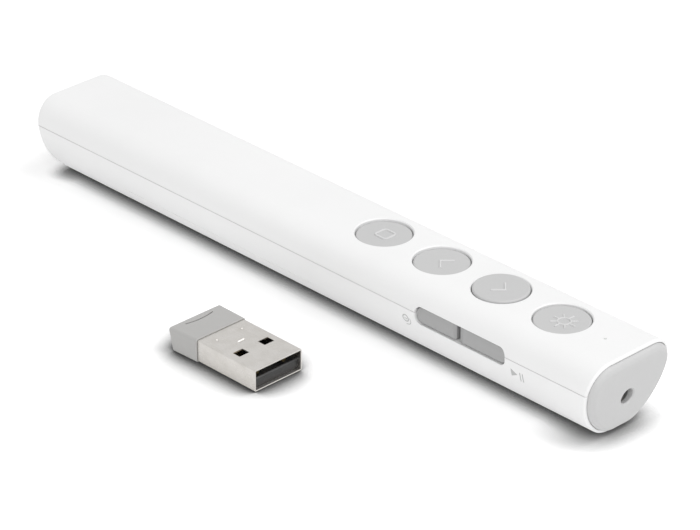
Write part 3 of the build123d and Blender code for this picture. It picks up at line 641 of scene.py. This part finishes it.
# ---- The object's sub-assemblies ----
@dataclass
class Casing:
    """The two casing halves, the battery door and the symbols printed on the side."""

    seam_drop: float = 5.5 * MM
    mark_stroke: float = 0.24 * MM
    dial_centre: Point2 = (29.85 * MM, 9.62 * MM)
    dial_radius: float = 0.72 * MM
    dial_steps: int = 24
    hand_points: tuple[Point2, ...] = ((29.48, 9.66), (29.78, 9.62), (30.04, 9.44), (30.3, 9.72))
    thin_stroke: float = 0.15 * MM
    echo_points: tuple[Point2, ...] = (
        (30.92, 9.9),
        (31.08, 9.55),
        (31.12, 9.15),
        (31.0, 8.78),
        (30.68, 8.46),
        (30.2, 8.3),
        (29.75, 8.26),
    )
    play_left: float = 57.15 * MM
    play_right: float = 58.73 * MM
    play_height: float = 1.72 * MM
    play_level: float = 9.3 * MM
    pause_places: Point2 = (59.45 * MM, 60.08 * MM)
    pause_height: float = 1.95 * MM
    pause_level: float = 9.1 * MM
    pause_steps: int = 8

    def print_dial(self, stamp: SideStamp) -> bpy.types.Object:
        """Ring with a bent hand inside it and a second arc below, beside the rear side key.

        Args:
            stamp: What lays the mark onto the side.

        Returns:
            The printed piece.
        """
        form = bmesh.new()
        centre_x, centre_z = self.dial_centre
        angles = [math.tau * step / self.dial_steps for step in range(self.dial_steps)]
        ring = tuple(
            (centre_x + self.dial_radius * math.cos(angle), centre_z + self.dial_radius * math.sin(angle))
            for angle in angles
        )
        stamp.strip(form, Stroke(ring, self.mark_stroke, Corner.CLOSED))
        for points in (self.hand_points, self.echo_points):
            line = tuple((x * MM, z * MM) for x, z in points)
            stamp.strip(form, Stroke(line, self.thin_stroke))
        return add_piece("printed_dial_mark", form, Palette.PRINT, Body.HANDSET)

    def print_play(self, stamp: SideStamp) -> bpy.types.Object:
        """Play triangle and pause bars beyond the front side key.

        Args:
            stamp: What lays the mark onto the side.

        Returns:
            The printed piece.
        """
        form = bmesh.new()
        low = self.play_level - self.play_height / 2
        high = self.play_level + self.play_height / 2
        tip = (self.play_right, self.play_level)
        stamp.patch(form, ((self.play_left, low), tip, (self.play_left, high)))
        foot, steps = self.pause_level - self.pause_height / 2, self.pause_steps
        heights = [foot + self.pause_height * step / steps for step in range(steps + 1)]
        for place in self.pause_places:
            stamp.strip(form, Stroke(tuple((place, height) for height in heights), self.mark_stroke))
        return add_piece("printed_play_mark", form, Palette.PRINT, Body.HANDSET)

    def build(self) -> list[str]:
        """Dresses the casing and prints its marks.

        Returns:
            Names of its pieces.
        """
        plain = Palette.CASING
        _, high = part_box("top_shell")
        # The shells take the casing white with painted shade along the parting seam; the battery door
        # takes it plain.
        seamed = CasingPlastic(
            "casing_white_seamed", plain.colour, plain.roughness, seam_level=high.z - self.seam_drop
        )
        names = [dress("top_shell", seamed), dress("bottom_shell", seamed), dress("battery_cover", plain)]
        stamp = SideStamp("bottom_shell", face=-1.0)
        names.append(self.print_dial(stamp).name)
        names.append(self.print_play(stamp).name)
        return names


@dataclass
class KeyPad:
    """Top keys and side keys with the switches under them."""

    top_keys: tuple[str, ...] = ("screen", "previous", "next", "laser")
    side_keys: tuple[str, ...] = ("rear", "front")
    key_colour: Colour = (0.56, 0.56, 0.56)
    key_roughness: float = 0.5
    key_grain: float = 0.2 * MM

    def top_key_finish(self, key: str) -> KeyPlastic:
        """Finish of a top key, with its symbol's level read from the key.

        Args:
            key: The key's short name.

        Returns:
            The finish.
        """
        _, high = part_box(f"key_{key}")
        return KeyPlastic(
            f"key_grey_{key}", self.key_colour, self.key_roughness, self.key_grain, symbol_top=high.z
        )

    def build(self) -> list[str]:
        """Dresses the keys and their switches.

        Returns:
            Names of its pieces.
        """
        names = []
        for key in self.top_keys:
            names.append(dress(f"key_{key}", self.top_key_finish(key)))
            names.append(dress(f"switch_{key}", Palette.SWITCH))
            names.append(dress(f"plunger_{key}", Palette.PLUNGER))
        for key in self.side_keys:
            names.append(dress(f"side_key_{key}", Palette.SIDE_KEY))
            names.append(dress(f"side_switch_{key}", Palette.SWITCH))
            names.append(dress(f"side_plunger_{key}", Palette.PLUNGER))
        return names


@dataclass
class NodeGroup:
    """A sub-assembly whose nodes only take a finish each."""

    finishes: dict[str, Finish]

    def build(self) -> list[str]:
        """Dresses the nodes.

        Returns:
            Names of its pieces.
        """
        return [dress(node, finish) for node, finish in self.finishes.items()]


@dataclass
class LaserNose(NodeGroup):
    """Nose cap and the laser module behind its aperture."""

    finishes: dict[str, Finish] = field(
        default_factory=lambda: {
            "nose_cap": Palette.NOSE,
            "laser_barrel": Palette.BRASS,
            "laser_lens": Palette.LENS,
            "laser_diode": Palette.CAN,
            "laser_leads": Palette.SPRING,
        }
    )


@dataclass
class Electronics(NodeGroup):
    """Main board, what is soldered to it, and its screws."""

    finishes: dict[str, Finish] = field(
        default_factory=lambda: {
            "main_board": Palette.BOARD,
            "radio_chip": Palette.CHIP,
            "crystal_can": Palette.CAN,
            "power_coil": Palette.CHIP,
            "board_passives": Palette.CHIP,
            "status_led": Palette.LAMP,
            "light_pipe": Palette.LIGHT_PIPE,
            "board_screws": Palette.SCREW,
            "shell_screws": Palette.SCREW,
        }
    )


@dataclass
class BatteryBay:
    """The cell with its contacts and spring."""

    sleeve: Colour = (0.03, 0.05, 0.075)
    band: Colour = (0.62, 0.36, 0.13)
    steel: Colour = (0.7, 0.69, 0.67)

    def build(self) -> list[str]:
        """Dresses the bay.

        Returns:
            Names of its pieces.
        """
        low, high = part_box("battery_cell")
        cell = CellSleeve("cell_wrap", self.sleeve, self.band, self.steel, (low.x, high.x))
        names = [dress("battery_cell", cell)]
        for node in ("positive_contact", "negative_contact", "battery_spring"):
            names.append(dress(node, Palette.SPRING))
        return names


@dataclass
class Receiver(NodeGroup):
    """USB radio receiver: steel plug, contact carrier and moulded grip."""

    finishes: dict[str, Finish] = field(
        default_factory=lambda: {
            "usb_shell": Palette.STEEL,
            "contact_carrier": Palette.CARRIER,
            "usb_contacts": Palette.GOLD,
            "receiver_grip": Palette.GRIP,
            "receiver_board": Palette.BOARD,
            "receiver_chip": Palette.CHIP,
        }
    )


# ---- Studio ----
def seen_directly(tree: bpy.types.NodeTree) -> bpy.types.NodeSocket:
    """Tells rays that show the set itself from rays that only light the object.

    Args:
        tree: The node tree that the answer is used in.

    Returns:
        1 for camera, glossy and transmission rays, and 0 for the others.
    """
    path = tree.nodes.new("ShaderNodeLightPath")
    seen = path.outputs["Is Camera Ray"]
    for ray in ("Is Glossy Ray", "Is Transmission Ray"):
        either = tree.nodes.new("ShaderNodeMath")
        either.operation = "MAXIMUM"
        tree.links.new(seen, either.inputs[0])
        tree.links.new(path.outputs[ray], either.inputs[1])
        seen = either.outputs["Value"]
    return seen


@dataclass(frozen=True)
class SoftBox:
    """A square lamp that points at the middle of the set."""

    name: str
    place: Point3
    side: float
    power: float

    def hang(self) -> None:
        """Adds the lamp to the scene, unseen by the camera."""
        lamp = bpy.data.lights.new(self.name, "AREA")
        lamp.shape = "SQUARE"
        lamp.size = self.side
        lamp.energy = self.power
        holder = bpy.data.objects.new(self.name, lamp)
        holder.location = self.place
        holder.rotation_euler = (-Vector(self.place)).to_track_quat("-Z", "Y").to_euler()
        holder.visible_camera = False
        bpy.context.scene.collection.objects.link(holder)


@dataclass(frozen=True)
class ContactShade:
    """Painted contact shadow: how the floor's colour darkens close under and beside a thing that stands
    on it.
    """

    reach: float
    closed: float
    open: float
    dark: float
    samples: int = 8

    def factor(self, tree: bpy.types.NodeTree) -> bpy.types.NodeSocket:
        """Builds the painted shade from ambient occlusion.

        Args:
            tree: The floor's node tree.

        Returns:
            What the floor's colour is multiplied by.
        """
        contact = tree.nodes.new("ShaderNodeAmbientOcclusion")
        contact.samples = self.samples
        contact.inputs["Distance"].default_value = self.reach
        shade = tree.nodes.new("ShaderNodeMapRange")
        shade.inputs["From Min"].default_value = self.closed
        shade.inputs["From Max"].default_value = self.open
        shade.inputs["To Min"].default_value = self.dark
        tree.links.new(contact.outputs["AO"], shade.inputs["Value"])
        return shade.outputs["Result"]


@dataclass
class Studio:
    """White table with painted contact shadows, even surrounding light, soft lamps and the camera."""

    floor_side: float = 8.0
    floor_lit: float = 0.97
    floor_seen: float = 1.3
    floor_mirrored: float = 1.15
    # Painted contact shadows that only camera rays see, one for each stretch of the floor set by the
    # borders below.
    handset_shade: ContactShade = ContactShade(5.0 * MM, 0.1, 0.6, 0.03)
    receiver_shade: ContactShade = ContactShade(11.0 * MM, 0.57, 1.0, 0.08)
    nose_shade: ContactShade = ContactShade(8.0 * MM, 0.38, 0.96, 0.12)
    tail_shade: ContactShade = ContactShade(4.0 * MM, 0.45, 0.95, 0.1)
    receiver_border: Point2 = (-22.0 * MM, -20.0 * MM)
    nose_border: Point2 = (62.0 * MM, 76.0 * MM)
    tail_border: Point2 = (-70.0 * MM, -76.0 * MM)
    surround: float = 0.605
    lamps: tuple[SoftBox, ...] = (
        SoftBox("overhead_softbox", (0.45, 0.35, 0.9), 0.7, 4.6),
        SoftBox("front_softbox", (0.9, -0.9, 0.8), 0.8, 4.8),
        SoftBox("side_softbox", (0.1, -1.1, 0.45), 0.7, 0.5),
    )
    camera_place: Point3 = (0.4637, -0.4481, 0.3554)
    camera_azimuth: float = 45.75
    camera_elevation: float = 28.51
    camera_roll: float = 0.198
    camera_lens: float = 193.45
    camera_sensor: float = 36.0
    camera_clip: Point2 = (0.01, 20.0)

    def shade_floor(self, tree: bpy.types.NodeTree) -> bpy.types.NodeSocket:
        """Gives each stretch of the floor the painted contact shadow of what stands on it.

        Args:
            tree: The floor's node tree.

        Returns:
            What the floor's colour is multiplied by.
        """
        place = tree.nodes.new("ShaderNodeSeparateXYZ")
        tree.links.new(tree.nodes.new("ShaderNodeTexCoord").outputs["Object"], place.inputs["Vector"])
        shade = self.receiver_shade.factor(tree)
        for axis, border, beyond in (
            ("Y", self.receiver_border, self.handset_shade),
            ("X", self.nose_border, self.nose_shade),
            ("X", self.tail_border, self.tail_shade),
        ):
            share = tree.nodes.new("ShaderNodeMapRange")
            share.inputs["From Min"].default_value, share.inputs["From Max"].default_value = border
            tree.links.new(place.outputs[axis], share.inputs["Value"])
            mixed = tree.nodes.new("ShaderNodeMix")
            tree.links.new(share.outputs["Result"], mixed.inputs["Factor"])
            tree.links.new(shade, mixed.inputs["A"])
            tree.links.new(beyond.factor(tree), mixed.inputs["B"])
            shade = mixed.outputs["Result"]
        return shade

    def floor_material(self) -> bpy.types.Material:
        """Matt white that keeps the object's shadow from the lamps, looks bright where it is seen, and
        carries a painted contact shadow for camera rays.

        Returns:
            The new material.
        """
        material = bpy.data.materials.new("floor_white")
        material.use_nodes = True
        tree = material.node_tree
        matt = tree.nodes.new("ShaderNodeBsdfDiffuse")
        unseen = tree.nodes.new("ShaderNodeMapRange")
        unseen.inputs["To Min"].default_value = self.floor_lit
        unseen.inputs["To Max"].default_value = self.floor_mirrored
        tree.links.new(seen_directly(tree), unseen.inputs["Value"])
        # Camera rays see the floor's colour darkened by the painted contact shadow.
        seen = tree.nodes.new("ShaderNodeMath")
        seen.operation = "MULTIPLY"
        seen.inputs[1].default_value = self.floor_seen
        tree.links.new(self.shade_floor(tree), seen.inputs[0])
        colour = tree.nodes.new("ShaderNodeMix")
        path = tree.nodes.new("ShaderNodeLightPath")
        tree.links.new(path.outputs["Is Camera Ray"], colour.inputs["Factor"])
        tree.links.new(unseen.outputs["Result"], colour.inputs["A"])
        tree.links.new(seen.outputs["Value"], colour.inputs["B"])
        tree.links.new(colour.outputs["Result"], matt.inputs["Color"])
        tree.links.new(matt.outputs["BSDF"], tree.nodes["Material Output"].inputs["Surface"])
        return material

    def lay_floor(self) -> None:
        """A plain square floor at the level that the object rests on."""
        half = self.floor_side / 2
        form = bmesh.new()
        corners = ((-half, -half), (half, -half), (half, half), (-half, half))
        form.faces.new([form.verts.new((x, y, 0.0)) for x, y in corners])
        mesh = bpy.data.meshes.new("floor")
        form.to_mesh(mesh)
        form.free()
        mesh.materials.append(self.floor_material())
        floor = bpy.data.objects.new("floor", mesh)
        bpy.context.scene.collection.objects.link(floor)

    def light_world(self) -> None:
        """Even light from all round, and white where a ray sees the background itself."""
        world = bpy.data.worlds.new("studio_surround")
        bpy.context.scene.world = world
        world.use_nodes = True
        tree = world.node_tree
        background = tree.nodes["Background"]
        background.inputs["Color"].default_value = (1.0, 1.0, 1.0, 1.0)
        level = tree.nodes.new("ShaderNodeMapRange")
        level.inputs["To Min"].default_value = self.surround
        level.inputs["To Max"].default_value = 1.0
        tree.links.new(seen_directly(tree), level.inputs["Value"])
        tree.links.new(level.outputs["Result"], background.inputs["Strength"])

    def set_camera(self) -> None:
        """Camera that looks down onto the top keys and the nose."""
        azimuth, elevation = math.radians(self.camera_azimuth), math.radians(self.camera_elevation)
        roll = math.radians(self.camera_roll)
        level = math.cos(elevation)
        back = Vector((math.sin(azimuth) * level, -math.cos(azimuth) * level, math.sin(elevation)))
        right = Vector((math.cos(azimuth), math.sin(azimuth), 0.0))
        up = back.cross(right)
        turned_right = right * math.cos(roll) + up * math.sin(roll)
        turned_up = up * math.cos(roll) - right * math.sin(roll)
        lens = bpy.data.cameras.new("studio_camera")
        lens.lens = self.camera_lens
        lens.sensor_width = self.camera_sensor
        lens.clip_start, lens.clip_end = self.camera_clip
        camera = bpy.data.objects.new("studio_camera", lens)
        turn = Matrix((turned_right, turned_up, back)).transposed().to_4x4()
        camera.matrix_world = Matrix.Translation(self.camera_place) @ turn
        bpy.context.scene.collection.objects.link(camera)
        bpy.context.scene.camera = camera

    def build(self) -> None:
        """Sets up the whole studio."""
        self.lay_floor()
        self.light_world()
        for lamp in self.lamps:
            lamp.hang()
        self.set_camera()
        bpy.context.scene.view_settings.view_transform = "Standard"


def main() -> None:
    """Builds every sub-assembly and the studio, in order."""
    logging.basicConfig(level=logging.INFO, format="%(name)s: %(message)s")
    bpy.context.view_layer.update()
    for assembly in (Casing(), KeyPad(), LaserNose(), Electronics(), BatteryBay(), Receiver()):
        for name in assembly.build():
            LOG.info("%s: %s", type(assembly).__name__, name)
    Studio().build()


if __name__ == "__main__":
    main()
